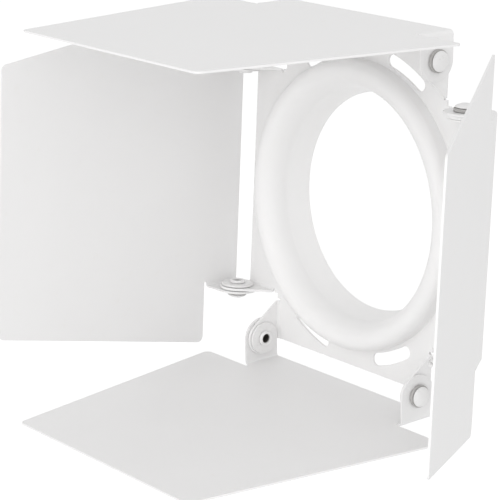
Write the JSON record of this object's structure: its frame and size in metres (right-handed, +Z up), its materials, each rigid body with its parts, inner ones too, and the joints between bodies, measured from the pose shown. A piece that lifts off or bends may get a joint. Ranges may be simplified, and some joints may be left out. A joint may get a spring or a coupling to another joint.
{
  "type": "barn door attachment",
  "caption": "Square light-shaping frame with a round collared aperture and hinged tapered leaves that swing on friction rivets to cut the beam of a spotlight.",
  "frame": {"origin": "middle of the aperture, on the back face of the frame plate", "axes": "+Z up, -Y the way the light leaves, +Y back into the lamp head, +X to the right seen from in front of the leaves"},
  "size_m": [0.2667, 0.1645, 0.1944],
  "materials": {
    "plate_coat": "satin white powder coat on pressed steel",
    "leaf_coat": "satin white powder coat on steel sheet",
    "rivet_paint": "smooth white paint",
    "washer_paint": "smooth white paint",
    "friction_fibre": "matt pressed fibre"
  },
  "bodies": {
    "frame": {"frame_plate": "plate_coat", "bottom_leaf_left_rivet": "rivet_paint", "bottom_leaf_left_clamp_washer": "washer_paint", "bottom_leaf_left_friction_washer": "friction_fibre", "bottom_leaf_right_rivet": "rivet_paint", "bottom_leaf_right_clamp_washer": "washer_paint", "bottom_leaf_right_friction_washer": "friction_fibre", "left_leaf_lower_rivet": "rivet_paint", "left_leaf_lower_clamp_washer": "washer_paint", "left_leaf_lower_friction_washer": "friction_fibre", "left_leaf_upper_rivet": "rivet_paint", "left_leaf_upper_clamp_washer": "washer_paint", "left_leaf_upper_friction_washer": "friction_fibre", "top_leaf_left_rivet": "rivet_paint", "top_leaf_left_clamp_washer": "washer_paint", "top_leaf_left_friction_washer": "friction_fibre", "top_leaf_right_rivet": "rivet_paint", "top_leaf_right_clamp_washer": "washer_paint", "top_leaf_right_friction_washer": "friction_fibre", "right_leaf_lower_rivet": "rivet_paint", "right_leaf_lower_clamp_washer": "washer_paint", "right_leaf_lower_friction_washer": "friction_fibre", "right_leaf_upper_rivet": "rivet_paint", "right_leaf_upper_clamp_washer": "washer_paint", "right_leaf_upper_friction_washer": "friction_fibre"},
    "bottom_leaf_body": {"bottom_leaf": "leaf_coat"},
    "left_leaf_body": {"left_leaf": "leaf_coat"},
    "top_leaf_body": {"top_leaf": "leaf_coat"},
    "right_leaf_body": {"right_leaf": "leaf_coat"}
  },
  "joints": [
    {"name": "bottom_leaf_swing", "type": "hinge", "parent": "frame", "child": "bottom_leaf_body", "pos_m": [0, -0.0102, -0.0784], "axis": [1, 0, 0], "range_deg": [-12.5, 85.5]},
    {"name": "left_leaf_swing", "type": "hinge", "parent": "frame", "child": "left_leaf_body", "pos_m": [-0.0784, -0.0102, 0], "axis": [0, 0, -1], "range_deg": [-33.3, 93.7]},
    {"name": "top_leaf_swing", "type": "hinge", "parent": "frame", "child": "top_leaf_body", "pos_m": [0, -0.0102, 0.0784], "axis": [-1, 0, 0], "range_deg": [-5, 93]},
    {"name": "right_leaf_swing", "type": "hinge", "parent": "frame", "child": "right_leaf_body", "pos_m": [0.0784, -0.0102, 0], "axis": [0, 0, 1], "range_deg": [-74.8, 52.2]}
  ]
}
